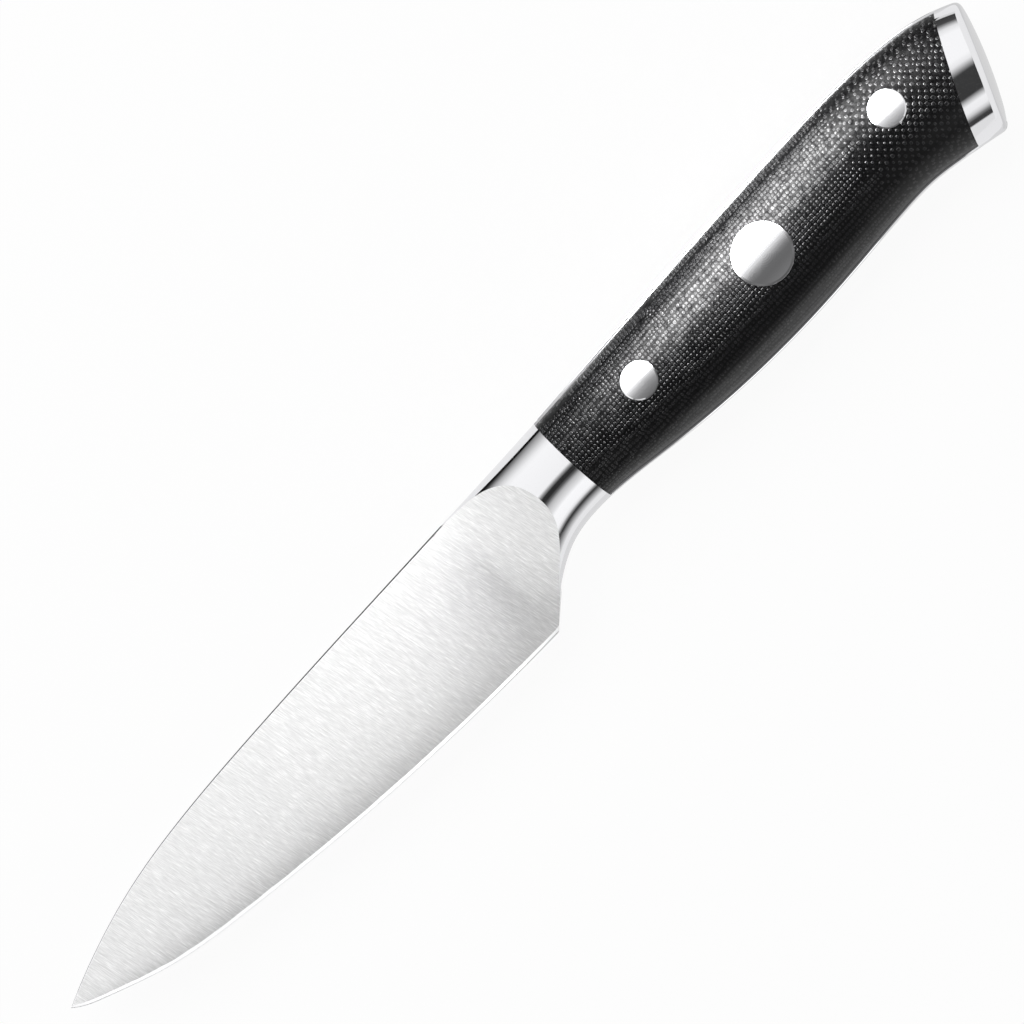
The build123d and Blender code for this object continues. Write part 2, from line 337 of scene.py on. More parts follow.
def curve_through(points, first_slope=None, last_slope=None):
    """A smooth height over x through points, with a given or a free slope at each end."""
    xs, ys = np.array(points, float).T
    count = len(xs)
    step = np.diff(xs)
    slope = np.diff(ys) / step
    system = np.zeros((count, count))
    right = np.zeros(count)
    for i in range(1, count - 1):
        system[i, i - 1:i + 2] = step[i - 1], 2 * (step[i - 1] + step[i]), step[i]
        right[i] = 6 * (slope[i] - slope[i - 1])
    system[0, 0] = system[-1, -1] = 1
    if first_slope is not None:
        system[0, :2] = 2 * step[0], step[0]
        right[0] = 6 * (slope[0] - first_slope)
    if last_slope is not None:
        system[-1, -2:] = step[-1], 2 * step[-1]
        right[-1] = 6 * (last_slope - slope[-1])
    bend = np.linalg.solve(system, right)

    def height(x):
        x = np.asarray(x, float)
        i = np.clip(np.searchsorted(xs, x) - 1, 0, count - 2)
        t = x - xs[i]
        first = slope[i] - step[i] * (2 * bend[i] + bend[i + 1]) / 6
        return ys[i] + t * (first + t * (bend[i] / 2 + t * (bend[i + 1] - bend[i]) / (6 * step[i])))

    return height


TIP = np.array((-88.7, -7.554))
HEEL = np.array((0.0, -23.1))
CHOIL = np.array((5.0, -19.0))  # where the blade's straight back meets the belly
CHOIL_SLOPE = 1.148  # of the flank that the choil is cut from
TIP_SPINE_SLOPE = 0.4
TIP_EDGE_SLOPE = -0.9
HEEL_EDGE_SLOPE = -0.03
BOLSTER_FRONT = -5.35
BOLSTER_END = 20.0
CAP_TOP = 103.4  # where the joint of scales and cap meets the top line
CAP_LEAN = math.tan(math.radians(28.8))
BEVEL = 0.6
HONE = 0.06  # the last stone takes this much off the edge, at a blunter angle
HONE_TILT = 0.72
RAMP_START = -0.5
RAMP_RADIUS = 20.0
HALF_STOCK = 1.0
HALF_SPINE = 0.9  # half thickness left by grinding at the spine above the heel
TANG_PROUD = 0.3
SLOPE_DOWN = 0.0293333
SLOPE_ALONG = 0.0049428
BULGE = 0.013  # the flats are ground a touch convex, rounder towards the edge
CROWN = 0.56  # how far down a section its thickest line lies

spine = curve_through([
    (-88.7, -7.554), (-80.0, -4.551), (-70.0, -2.16), (-58.5, -0.785), (-42.6, -0.143), (0, 0),
], TIP_SPINE_SLOPE, 0.0)
edge = curve_through([
    (-88.7, -7.554), (-84.0, -10.28), (-75.0, -13.85), (-60.0, -17.19), (-40.0, -20.12),
    (-20.0, -22.08), (0, -23.1),
], TIP_EDGE_SLOPE, HEEL_EDGE_SLOPE)
handle_top = curve_through([
    (0, 0), (20, 0.04), (35, 0.37), (55, 0.86), (72, 0.953), (85, 0.72), (95, -0.26),
    (103, -2.32), (112.2, -7.38),
])
handle_belly = curve_through([
    (5.0, -19.0), (8.0, -17.15), (11.0, -15.91), (16.0, -15.2), (20.0, -15.35), (30.0, -16.86),
    (40.0, -18.37), (50.0, -19.29), (60.0, -19.63), (70.0, -19.43), (80.0, -19.1),
    (85.0, -19.24), (90.0, -20.09), (98.0, -21.99), (112.2, -26.04),
], 0.78, -0.3)
handle_side = curve_through([
    (-5.35, 4.64), (3.2, 5.12), (11, 5.88), (20, 6.5), (40, 7.52), (60, 8.0), (80, 7.76),
    (94, 7.48), (112.2, 7.68),
])


def top(x):
    """The top line, carried on straight past the tip."""
    x = np.asarray(x, float)
    past_tip = TIP[1] + TIP_SPINE_SLOPE * (x - TIP[0])
    ahead = np.where(x < TIP[0], past_tip, spine(np.maximum(x, TIP[0])))
    return np.where(x < 0, ahead, handle_top(np.maximum(x, 0)))


def belly(x):
    """The belly, and ahead of it the flank that the choil is cut from."""
    x = np.asarray(x, float)
    ahead = CHOIL[1] + (x - CHOIL[0]) * CHOIL_SLOPE
    return np.where(x < CHOIL[0], ahead, handle_belly(np.maximum(x, CHOIL[0])))


def lower_edge(x):
    """The cutting edge, carried on straight past the tip and the heel."""
    x = np.asarray(x, float)
    past_tip = np.where(x < TIP[0], TIP_EDGE_SLOPE * (x - TIP[0]), 0)
    past_heel = np.where(x > 0, HEEL_EDGE_SLOPE * x, 0)
    return edge(np.clip(x, TIP[0], 0)) + past_tip + past_heel


def half_width(x):
    return handle_side(np.maximum(x, BOLSTER_FRONT))


def section(x, inset=0.0):
    """Top, belly, thickest line and half thickness of the handle's oval at x."""
    high = top(x) - inset
    low = np.where(np.asarray(x) < CHOIL[0], np.maximum(belly(x), HEEL[1]), belly(x)) + inset
    return high, low, high - CROWN * (high - low), half_width(x)


def oval_field(inset):
    """Zero on the handle's oval, more outside it."""
    def field(x, y, z):
        high, low, crown, half = section(x, inset)
        reach = np.where(y > crown, high - crown, crown - low)
        return ((y - crown) / reach) ** 2 + (z / half) ** 2 - 1
    return field


def oval_height(x, y, inset):
    """Half thickness of the handle at a point of its side view."""
    high, low, crown, half = section(x, inset)
    reach = high - crown if y > crown else crown - low
    return half * np.sqrt(1 - ((y - crown) / reach) ** 2)


def oval_point(x, angle, inset=0.0):
    """A point of the oval: angle 0 at the top, a quarter turn at the thickest line."""
    high, low, crown, half = section(x, inset)
    up = np.cos(angle)
    y = crown + np.where(up > 0, (high - crown) * up, (crown - low) * up)
    return np.stack([x + 0 * y, y, half * np.sin(angle)], -1)


def ground(x, y):
    """Half thickness left by grinding: the convex flat, and the ramp up to the bolster."""
    tall = np.maximum(top(x) - lower_edge(x), 0.5)
    down = np.clip((top(x) - y) / tall, 0, 1)
    bulge = BULGE * tall * down * (1 - down ** 6)
    past = np.clip(x - RAMP_START, 0, RAMP_RADIUS * 0.99)
    rise = RAMP_RADIUS - np.sqrt(RAMP_RADIUS ** 2 - past ** 2)
    return HALF_SPINE + SLOPE_DOWN * y + SLOPE_ALONG * x + bulge + rise


def ground_field(x, y, z):
    return np.abs(z) - ground(x, y)


def bevel_field(x, y, z):
    apex = lower_edge(x)
    return np.abs(z) - (y - apex) * ground(np.minimum(x, 0), apex + BEVEL) / BEVEL


def hone_field(x, y, z):
    return np.abs(z) - (y - lower_edge(x) - HONE) * HONE_TILT


def joint_x(y):
    """Where the slanted joint of scales and cap lies at a height."""
    return CAP_TOP - (float(top(CAP_TOP)) - y) * CAP_LEAN


# Helpers for meshes.

def lofted(name, rings, materials, index=0):
    """A closed solid through rings of points in drawing millimetres, its faces outwards."""
    rings = np.asarray(rings, float)
    rows, across = rings.shape[:2]
    faces = []
    for row in range(rows - 1):
        here, there = row * across, (row + 1) * across
        for i in range(across):
            j = (i + 1) % across
            faces.append((here + i, here + j, there + j, there + i))
    faces.append(tuple(range(across))[::-1])
    faces.append(tuple((rows - 1) * across + i for i in range(across)))
    mesh = bpy.data.meshes.new(name)
    mesh.from_pydata(metres(rings.reshape(-1, 3)).tolist(), [], faces)
    work = bmesh.new()
    work.from_mesh(mesh)
    bmesh.ops.remove_doubles(work, verts=work.verts, dist=1e-8)
    bmesh.ops.recalc_face_normals(work, faces=work.faces)
    for face in work.faces:
        face.material_index = index
        face.smooth = True
    work.to_mesh(mesh)
    work.free()
    return new_piece(name, mesh, materials)


def settle(piece):
    """Turns what a piece's modifiers make of it into its own mesh."""
    evaluated = piece.evaluated_get(bpy.context.evaluated_depsgraph_get())
    mesh = bpy.data.meshes.new_from_object(evaluated)
    piece.modifiers.clear()
    piece.data = mesh


def cut(piece, *cutters):
    """Takes the cutters out of a piece, and removes them."""
    for cutter in cutters:
        boolean = piece.modifiers.new("cut", "BOOLEAN")
        boolean.operation = "DIFFERENCE"
        boolean.solver = "EXACT"
        boolean.object = cutter
    settle(piece)
    for cutter in cutters:
        bpy.data.objects.remove(cutter)


def outwards(field, spots):
    """Unit directions in which a field grows at some spots."""
    nudge = 1e-4
    slope = np.zeros_like(spots)
    for axis in range(3):
        more, less = spots.copy(), spots.copy()
        more[:, axis] += nudge
        less[:, axis] -= nudge
        slope[:, axis] = (field(*more.T) - field(*less.T)) / (2 * nudge)
    return slope / (np.linalg.norm(slope, axis=1, keepdims=True) + 1e-12)


def read(items, name, kind, width=1):
    """A property of all items of a mesh, one row for each."""
    values = np.zeros(len(items) * width, kind)
    items.foreach_get(name, values)
    return values.reshape(-1, width) if width > 1 else values


def shade(piece, fields, flat_above=30):
    """Gives each face the exact normals of the surface that it lies on. fields holds, for each
    material number, a function that is zero on the surface, or None for plain faces. A face that
    leans more than flat_above degrees from that surface stays plain."""
    mesh = piece.data
    corner = read(mesh.loops, "vertex_index", int)
    place = read(mesh.vertices, "co", float, 3)[corner] * 1000 + ORIGIN
    polygons = mesh.polygons
    counts = read(polygons, "loop_total", int)
    kind = np.repeat(read(polygons, "material_index", int), counts)
    face = np.repeat(read(polygons, "normal", float, 3), counts, axis=0)
    normals = face.copy()
    for number, field in enumerate(fields):
        chosen = kind == number
        if field is None or not chosen.any():
            continue
        slope = outwards(field, place[chosen])
        turned = (slope * face[chosen]).sum(1)
        slope[turned < 0] *= -1
        near = np.abs(turned) > math.cos(math.radians(flat_above))
        slope[~near] = face[chosen][~near]
        normals[chosen] = slope
    polygons.foreach_set("use_smooth", np.ones(len(polygons), bool))
    mesh.normals_split_custom_set(normals.tolist())
    mesh.update()


def finished(piece, node):
    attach(piece, "root")
    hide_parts(node)


# Blade and bolster.

SPINE_BREAK = 0.14  # how far the corners of the blade's spine are rounded
BACK_BREAK = 0.07  # the same for the tang's top strip
BELLY_BREAK = 0.22  # and for its bottom strip
OUTSIDE = 20  # well outside the knife's side


def grinding_cutter(hand):
    """What the grinding wheel takes off one side."""
    stations = np.concatenate([even(-94, RAMP_START, 20), even(RAMP_START, 17.5, 70)[1:]])
    heights = even(-28, 4, 33)
    rings = []
    for x in stations:
        rim = [(x, y, hand * ground(x, y)) for y in heights]
        rings.append(rim + [(x, heights[-1], hand * OUTSIDE), (x, heights[0], hand * OUTSIDE)])
    return lofted("wheel", rings, STEELS, index=1)


def sharpening_cutter(hone=False):
    """What sharpening takes off: a bar with a V groove along the edge."""
    half, foot = 1.2, -32
    rings = []
    for x in np.concatenate([even(-93, -80, 30), even(-80, 5.5, 60)[1:]]):
        apex = float(lower_edge(x))
        rise = half * BEVEL / float(ground(min(x, 0), apex + BEVEL))
        if hone:
            apex, rise = apex + HONE, half / HONE_TILT
        rings.append([
            (x, apex, 0), (x, apex + rise, half), (x, foot, half), (x, foot, -half),
            (x, apex + rise, -half),
        ])
    return lofted("stone", rings, STEELS, index=3 if hone else 2)


def choil_cutter():
    """What is ground off behind the heel: below the straight back of the blade."""
    foot = CHOIL + (HEEL - CHOIL) * 1.9
    rings = [[(*CHOIL, z), (*foot, z), (CHOIL[0], foot[1], z)] for z in (-12, 12)]
    return lofted("choil", rings, STEELS, index=1)


def behind_joint():
    """All behind the slanted joint of scales and cap."""
    rings = []
    for y in (-40, 20):
        x = joint_x(y)
        rings.append([
            (x, y, -OUTSIDE), (x + 60, y, -OUTSIDE), (x + 60, y, OUTSIDE), (x, y, OUTSIDE),
        ])
    return lofted("behind", rings, STEELS, index=0)


def strip(x, lower):
    """Points across the steel's top or bottom strip, crowned by the buffing wheel."""
    high, low, crown, half = section(x)
    rim, reach = (low, crown - low) if lower else (high, high - crown)
    z = HALF_STOCK * np.sin(even(-math.pi / 2, math.pi / 2, 13))
    # The corners are broken behind the bolster only, where the tang stands proud of the scales.
    round_off = (BELLY_BREAK if lower else BACK_BREAK) * min(max((x - BOLSTER_END) / 0.4, 0), 1)
    corner = HALF_STOCK
    if x < 0 and not lower:
        # The blade's spine is broken where the flats end.
        round_off, corner = SPINE_BREAK, float(ground(x, high))
        steps = corner - np.array((corner, SPINE_BREAK, 0.09, 0.05, 0.02, 0))
        z = np.concatenate([[-HALF_STOCK], -steps[::-1], steps[1:], [HALF_STOCK]])
    drop = reach * (1 - np.sqrt(1 - (z / half) ** 2))
    outer = np.clip(np.abs(z) - (corner - round_off), 0, round_off)
    drop = drop + (round_off - np.sqrt(round_off ** 2 - outer ** 2))
    if lower:
        rim = rim if x >= CHOIL[0] else max(float(belly(x)), -27)
        return [(x, rim + d, s) for d, s in zip(drop, z)][::-1]
    return [(x, rim - d, s) for d, s in zip(drop, z)]


def make_blade():
    """Blade and full tang, one piece of steel."""
    stations = np.concatenate([
        even(-91, -80, 14), even(-80, 0, 41)[1:], even(0, 20, 41)[1:],
        even(20, 21, 9)[1:], even(21, 112, 92)[1:],
    ])
    rings = [strip(x, False) + strip(x, True) for x in stations]
    blade = lofted("blade_and_tang", rings, STEELS)
    cut(
        blade, behind_joint(), grinding_cutter(1), grinding_cutter(-1),
        sharpening_cutter(), sharpening_cutter(hone=True), choil_cutter(),
    )
    shade(blade, [oval_field(0), ground_field, bevel_field, hone_field])
    finished(blade, "blade")


def half_ring(x, inset, hand, count):
    """A section of one side of the handle: the oval outside the tang, closed along it."""
    start = math.asin(HALF_STOCK / float(half_width(x)))
    ring = oval_point(x, even(start, math.pi - start, count), inset)
    ring[:, 2] *= hand
    return ring


def make_bolster(name, hand):
    """One half of the bolster, polished, with the satin ramp ground into its front."""
    rings = [half_ring(x, 0, hand, 60) for x in even(-1.0, BOLSTER_END, 64)]
    bolster = lofted(name + "_half", rings, STEELS[:3])
    cut(bolster, grinding_cutter(hand), choil_cutter())
    shade(bolster, [oval_field(0), ground_field, None])
    finished(bolster, name)


make_blade()
make_bolster("bolster_left", 1)
make_bolster("bolster_right", -1)


# Scales.

RIVETS = {  # x, y and the head's diameter
    "front": (35.49, -7.298, 5.8),
    "middle": (61.2, -8.2, 9.4),
    "rear": (88.8, -7.298, 5.8),
}
HOLE_PLAY = 0.03  # round each rivet head


def slanted_ring(share, inset, hand, count):
    """A section of a scale between the bolster and the slanted joint, share 0 to 1."""
    x = BOLSTER_END + share * (CAP_TOP - BOLSTER_END) * np.ones(count)
    for _ in range(6):
        start = np.arcsin(HALF_STOCK / half_width(x))
        angles = start + (math.pi - 2 * start) * even(0, 1, count)
        y = oval_point(x, angles, inset)[:, 1]
        x = BOLSTER_END + share * (joint_x(y) - BOLSTER_END)
    ring = oval_point(x, angles, inset)
    ring[:, 2] *= hand
    return ring


def round_cutter(place, radius, low, high):
    """A round bar across the knife, to cut a rivet's hole."""
    turns = even(0, 2 * math.pi, 97)[:-1]
    x, y = place[:2]
    rings = [
        [(x + radius * math.cos(t), y + radius * math.sin(t), z) for t in turns]
        for z in (low, high)
    ]
    return lofted("drill", rings, [LAMINATE, LAMINATE], index=1)


def make_scale(name, hand):
    rings = [slanted_ring(s, TANG_PROUD, hand, 72) for s in even(0, 1, 140)]
    scale = lofted(name + "_laminate", rings, [LAMINATE, LAMINATE])
    drills = [
        round_cutter(rivet, rivet[2] / 2 + HOLE_PLAY, hand * 0.5, hand * 9)
        for rivet in RIVETS.values()
    ]
    cut(scale, *drills)
    shade(scale, [oval_field(TANG_PROUD), None])
    finished(scale, name)


make_scale("scale_left", 1)
make_scale("scale_right", -1)


# End cap.

END_LEAN = math.radians(26.7)  # how far the end face looks down
DOME = 70.0  # radius of its shallow dome
CAP_LENGTH = 5.0  # from the middle of the slanted joint to the dome's crown
CAP_ROUNDING = 0.9


def unit_scale(spots, length):
    """What each spot, taken from zero, is multiplied by to have a length."""
    return (length / np.linalg.norm(spots, axis=1))[:, None]


def make_cap():
    """The end cap: buffed side, rounded edge, and a shallow domed end face."""
    aim = np.array((math.cos(END_LEAN), -math.sin(END_LEAN), 0))
    foot_x = 93.4
    for _ in range(20):
        foot_x = joint_x(float(belly(foot_x)))
    joint_middle = np.array((
        (CAP_TOP + foot_x) / 2, (float(top(CAP_TOP)) + float(belly(foot_x))) / 2, 0,
    ))
    centre = joint_middle + aim * (CAP_LENGTH - DOME)
    crown = centre + aim * DOME

    def on_dome(spots):
        return centre + (spots - centre) * unit_scale(spots - centre, DOME)

    # The side ends in front on the slanted joint and behind on the dome.
    count = 160
    angles = even(0, 2 * math.pi, count + 1)[:-1]
    front = np.full(count, 98.0)
    rear = np.full(count, 103.0)
    for _ in range(30):
        front = joint_x(oval_point(front, angles)[:, 1])
        spot = oval_point(rear, angles) - centre
        rear = rear + (DOME - np.linalg.norm(spot, axis=1)) / aim[0]
    rim = oval_point(rear, angles)
    span = rear - front
    side_end = 1 - CAP_ROUNDING / span
    rings = [oval_point(front + share * side_end * span, angles) for share in even(0, 1, 9)]
    normals = [outwards(oval_field(0), ring) for ring in rings]
    # The rounded edge, from the side's last ring round the rim to the dome's outermost.
    inner = on_dome(rim + (crown - rim) * unit_scale(crown - rim, CAP_ROUNDING))
    start, start_normal = rings[-1], normals[-1]
    inner_normal = (inner - centre) / DOME
    for t in even(0, 1, 10)[1:]:
        rings.append((1 - t) ** 2 * start + 2 * t * (1 - t) * rim + t ** 2 * inner)
        normals.append((1 - t) * start_normal + t * inner_normal)
    for share in (0.9, 0.75, 0.6, 0.45, 0.3, 0.15, 0.04):
        rings.append(on_dome(crown + (inner - crown) * share))
        normals.append((rings[-1] - centre) / DOME)

    cap = lofted("end_cap_steel", rings, [POLISHED])
    normals = np.concatenate(normals)
    corners = []
    for face in cap.data.polygons:
        joint = face.normal.x < -0.5
        corners += [tuple(face.normal) if joint else tuple(normals[v]) for v in face.vertices]
    cap.data.normals_split_custom_set(corners)
    finished(cap, "end_cap")


make_cap()


# Rivets, made with geometry nodes, in metres.

BLANK = 0.001  # depth of the plain cylinder that a head is drawn from
RAY_START = 0.03  # how far outside the knife the surface is looked for
HEAD_DEPTH = 2.6  # millimetres from the surface down to the head's seat
SHANK_GAP = 0.6  # millimetres that a shank ends short of the other head
SHANK_RADIUS = {"male": 0.0015, "female": 0.0022}  # a solid shank and its sleeve
RIM_BREAK = 0.00008


def rivet_tree():
    """Node tree of half a rivet: a head that ends level with the buffed surface it sits in,
    its rim broken, on a shank or a sleeve."""
    tree = bpy.data.node_groups.new("rivet_half", "GeometryNodeTree")
    for name, kind in (
        ("Surface", "Object"), ("Place", "Vector"), ("Hand", "Float"), ("Head Radius", "Float"),
        ("Shank Radius", "Float"), ("Seat", "Float"), ("Shank Length", "Float"),
        ("Rim", "Float"), ("Steel", "Material"),
    ):
        tree.interface.new_socket(name, in_out="INPUT", socket_type="NodeSocket" + kind)
    tree.interface.new_socket("Geometry", in_out="OUTPUT", socket_type="NodeSocketGeometry")
    given = add(tree, "NodeGroupInput").outputs
    output = add(tree, "NodeGroupOutput")
    place = add(tree, "ShaderNodeSeparateXYZ", {0: given["Place"]}).outputs

    # The head: how far up it a point lies, 0 at the seat and 1 at the face, and its place.
    head = add(tree, "GeometryNodeMeshCylinder", {
        "Vertices": 96, "Side Segments": 4, "Fill Segments": 14, "Radius": given["Head Radius"],
        "Depth": BLANK,
    }, fill_type="TRIANGLE_FAN")
    position = add(tree, "GeometryNodeInputPosition")
    local = add(tree, "ShaderNodeSeparateXYZ", {0: position}).outputs
    share = remap(tree, local["Z"], (-BLANK / 2, BLANK / 2))
    across = add(tree, "ShaderNodeCombineXYZ", {"X": local["X"], "Y": local["Y"]})
    radius = compute_vector(tree, "LENGTH", across).outputs["Value"]
    world = compute_vector(tree, "ADD", across, given["Place"])
    world_parts = add(tree, "ShaderNodeSeparateXYZ", {0: world}).outputs

    # The face is found on the surface by a ray from outside.
    far = compute(tree, "MULTIPLY", given["Hand"], RAY_START)
    lift = add(tree, "ShaderNodeCombineXYZ", {"Z": far})
    source = compute_vector(tree, "ADD", world, lift)
    down = add(tree, "ShaderNodeVectorMath", {0: lift, "Scale": -1.0}, operation="SCALE")
    target = add(tree, "GeometryNodeObjectInfo", {"Object": given["Surface"]})
    ray = add(tree, "GeometryNodeRaycast", {
        "Target Geometry": target.outputs["Geometry"], "Source Position": source,
        "Ray Direction": down, "Ray Length": 1.0,
    })
    face = add(tree, "ShaderNodeSeparateXYZ", {0: ray.outputs["Hit Position"]}).outputs

    # The rim is broken over its outer width.
    start = compute(tree, "SUBTRACT", given["Head Radius"], given["Rim"])
    worn = remap(tree, radius, (start, given["Head Radius"]), (0.0, given["Rim"]))
    worn_down = compute(tree, "MULTIPLY", worn, given["Hand"])
    level = compute(tree, "SUBTRACT", face["Z"], worn_down)
    seat = compute(tree, "ADD", given["Seat"], place["Z"])
    height = blend(tree, share, seat, level)
    spot = add(tree, "ShaderNodeCombineXYZ", {
        "X": world_parts["X"], "Y": world_parts["Y"], "Z": height,
    })
    seated = add(tree, "GeometryNodeSetPosition", {"Geometry": head, "Position": spot})

    # The shank hangs from the seat.
    shank = add(tree, "GeometryNodeMeshCylinder", {
        "Vertices": 48, "Radius": given["Shank Radius"], "Depth": given["Shank Length"],
    })
    half = compute(tree, "MULTIPLY", given["Shank Length"], -0.5)
    shank_z = compute(tree, "MULTIPLY_ADD", half, given["Hand"], seat)
    shank_place = add(tree, "ShaderNodeCombineXYZ", {
        "X": place["X"], "Y": place["Y"], "Z": shank_z,
    })
    hung = add(tree, "GeometryNodeTransform", {"Geometry": shank, "Translation": shank_place})

    both = add(tree, "GeometryNodeJoinGeometry")
    for part in (seated, hung):
        tree.links.new(part.outputs[0], both.inputs[0])
    plain = add(tree, "GeometryNodeRealizeInstances", {"Geometry": both})
    coated = add(tree, "GeometryNodeSetMaterial", {"Geometry": plain, "Material": given["Steel"]})
    tree.links.new(coated.outputs[0], output.inputs[0])
    return tree


def skin_for_rivets(name, hand):
    """The scale's surface with no holes, for the rivet heads to end level with."""
    rings = [slanted_ring(s, TANG_PROUD, hand, 90) for s in even(0, 1, 200)]
    return lofted(name, rings, [LAMINATE])


def make_rivets():
    tree = rivet_tree()
    sockets = {s.name: s.identifier for s in tree.interface.items_tree if s.in_out == "INPUT"}
    for hand, kind in ((1, "male"), (-1, "female")):
        skin = skin_for_rivets("skin_" + kind, hand)
        for name, (x, y, head) in RIVETS.items():
            node = "rivet_" + name + "_" + kind
            piece = new_piece(node + "_steel", bpy.data.meshes.new("rivet"), [])
            nodes = piece.modifiers.new("rivet", "NODES")
            nodes.node_group = tree
            seat = float(oval_height(x, y, TANG_PROUD)) - HEAD_DEPTH
            values = {
                "Surface": skin, "Place": metres((x, y, 0)).tolist(), "Hand": float(hand),
                "Head Radius": head / 2000, "Shank Radius": SHANK_RADIUS[kind],
                "Seat": hand * seat / 1000, "Shank Length": (2 * seat - SHANK_GAP) / 1000,
                "Rim": RIM_BREAK, "Steel": RIVET,
            }
            for label, value in values.items():
                nodes[sockets[label]] = value
            settle(piece)
            shade(piece, [oval_field(TANG_PROUD)], flat_above=8)
            finished(piece, node)
        bpy.data.objects.remove(skin)


make_rivets()


# The studio: a white floor, soft lamps, and a light tent of glowing cloth that only reflections
# see. Polished steel shows what stands round it, so the tent draws its bright and dark lines.

PLAIN_PAPER = 0.94  # share of the floor that is seen as plain white; the rest takes the shadow
WORLD_LIGHT = 0.15  # of the white surroundings, that falls on things
TENT_OVER_BLADE = 150  # radius of the tent there
TENT_OVER_HANDLE = 45
STRIP_LIFT = 0.1  # of the strips of cloth above the floor
STUDIO_MIDDLE = Vector(metres((0, -6, 0)))

# Brightness of the cloth at angles from overhead, plus towards the spine.
BLADE_BANDS = [
    (-93, 0.0), (-60, 0.0), (-52, 1.2), (-44, 1.6), (-25, 1.6), (-20, 0.05), (-12, 0.05),
    (-6, 0.95), (2, 1.3), (38, 1.4), (46, 0.5), (93, 0.45),
]
TIP_BANDS = [(turn, 0.91 * level) for turn, level in BLADE_BANDS]
HEEL_BANDS = [(turn, 1.38 * level) for turn, level in BLADE_BANDS]
BOLSTER_BANDS = [
    (-100, 0.94), (-87, 0.42), (-78, 0.08), (-74, 0.04), (-69, 0.35), (-64, 0.95), (-58, 1.16),
    (-38, 1.19), (-30, 0.9), (-26, 0.82), (-18, 0.6), (-10.4, 0.14), (-5, 0.03), (2.5, 0.03),
    (6.5, 0.42), (9.5, 1.1), (53, 1.16), (60.5, 1.06), (68, 0.84),
]
BOLSTER_FRONT_BANDS = BOLSTER_BANDS + [(76, 0.55), (82, 0.25), (87, 0.02), (100, 0.0)]
BOLSTER_REAR_BANDS = BOLSTER_BANDS + [
    (76, 0.6), (84, 0.45), (89, 0.37), (92.5, 0.0), (100, 0.0),
]
CAP_BANDS = [
    (-100, 0.9), (-67, 0.9), (-64, 0.05), (-57, 0.06), (-52, 0.25), (-46, 0.75), (-40, 1.05),
    (-30, 1.1), (-25, 0.7), (-18, 0.05), (10.5, 0.05), (14, 0.4), (19, 1.0), (25, 1.16),
    (56, 1.16), (66, 0.95), (74, 0.3), (78, 0.08), (92, 0.05), (94, 0.85), (100, 0.85),
]
# The scales reflect little, so the cloth over them is far brighter towards the spine. Their
# bands share a part for the belly's side, and two of them the steps up to overhead.
BELLY_SIDE = [
    (-100, 3.0), (-90, 2.0), (-83, 0.9), (-73, 0.15), (-55, 0.08), (-18, 0.22), (-6, 0.18),
    (-1, 0.17),
]
BELLY_SIDE_FRONT = [
    (-100, 0.9), (-87, 0.42), (-76, 0.08), (-55, 0.08), (-18, 0.22), (-6, 0.2), (-1, 0.24),
]
MIDDLE_STEPS = BELLY_SIDE + [
    (6, 0.18), (10, 0.27), (14, 0.5), (18, 0.9), (21, 1.2), (23, 1.5),
]
BEHIND_BOLSTER = BELLY_SIDE_FRONT + [
    (14, 0.5), (33, 0.7), (51, 0.9), (62, 0.6), (72, 0.3), (79, 0.1), (100, 0.02),
]
BEFORE_FRONT_RIVET = BELLY_SIDE_FRONT + [
    (7, 0.3), (13, 0.6), (20, 1.3), (33, 1.8), (42, 3.4), (51, 2.8), (60, 1.2), (72, 0.3),
    (79, 0.1), (88, 0.05), (100, 0.02),
]
AT_FRONT_RIVET = BELLY_SIDE + [
    (7, 0.26), (14, 0.4), (20, 0.75), (25, 1.6), (33, 6.0), (42, 10.0), (51, 9.0), (62, 6.0),
    (72, 1.0), (79, 0.2), (88, 0.05), (100, 0.02),
]
BEFORE_MIDDLE_RIVET = MIDDLE_STEPS + [
    (28, 20.0), (33, 40.0), (42, 60.0), (51, 45.0), (62, 26.0), (72, 3.0), (79, 0.4),
    (88, 0.1), (100, 0.02),
]
BEHIND_MIDDLE_RIVET = MIDDLE_STEPS + [
    (28, 6.0), (33, 20.0), (42, 42.0), (51, 36.0), (62, 34.0), (72, 36.0), (79, 6.0),
    (88, 0.2), (100, 0.02),
]
BEFORE_CAP = BELLY_SIDE + [
    (11, 0.3), (18, 0.55), (25, 0.9), (33, 1.5), (50, 1.8), (62, 1.0), (72, 0.2), (82, 0.05),
    (100, 0.02),
]
CAP_STRIP = [(-1.0, 0.5), (0.8, 0.5), (1.2, 0.75), (14.0, 0.85)]


def paper_white():
    """Matt white paper, seen as nearly plain white, so that it carries a soft faint shadow."""
    material, tree, output = new_material("white_paper")
    share = compute(tree, "MULTIPLY", seen_directly(tree), PLAIN_PAPER)
    matt = add(tree, "ShaderNodeBsdfDiffuse", {"Color": linear("FAFAFA")})
    plain = add(tree, "ShaderNodeEmission", {"Color": linear("FFFFFF"), "Strength": 1.0})
    add_surface(tree, output, add(tree, "ShaderNodeMixShader", {0: share, 1: matt, 2: plain}))
    return material


def tent_cloth():
    """White tent cloth lit from behind, as bright in each place as its lamps and flags make it."""
    material, tree, output = new_material("tent_cloth")
    glow = add(tree, "ShaderNodeAttribute", attribute_name="glow").outputs["Fac"]
    light = add(tree, "ShaderNodeEmission", {"Color": linear("FFFFFF"), "Strength": glow})
    add_surface(tree, output, light)
    return material


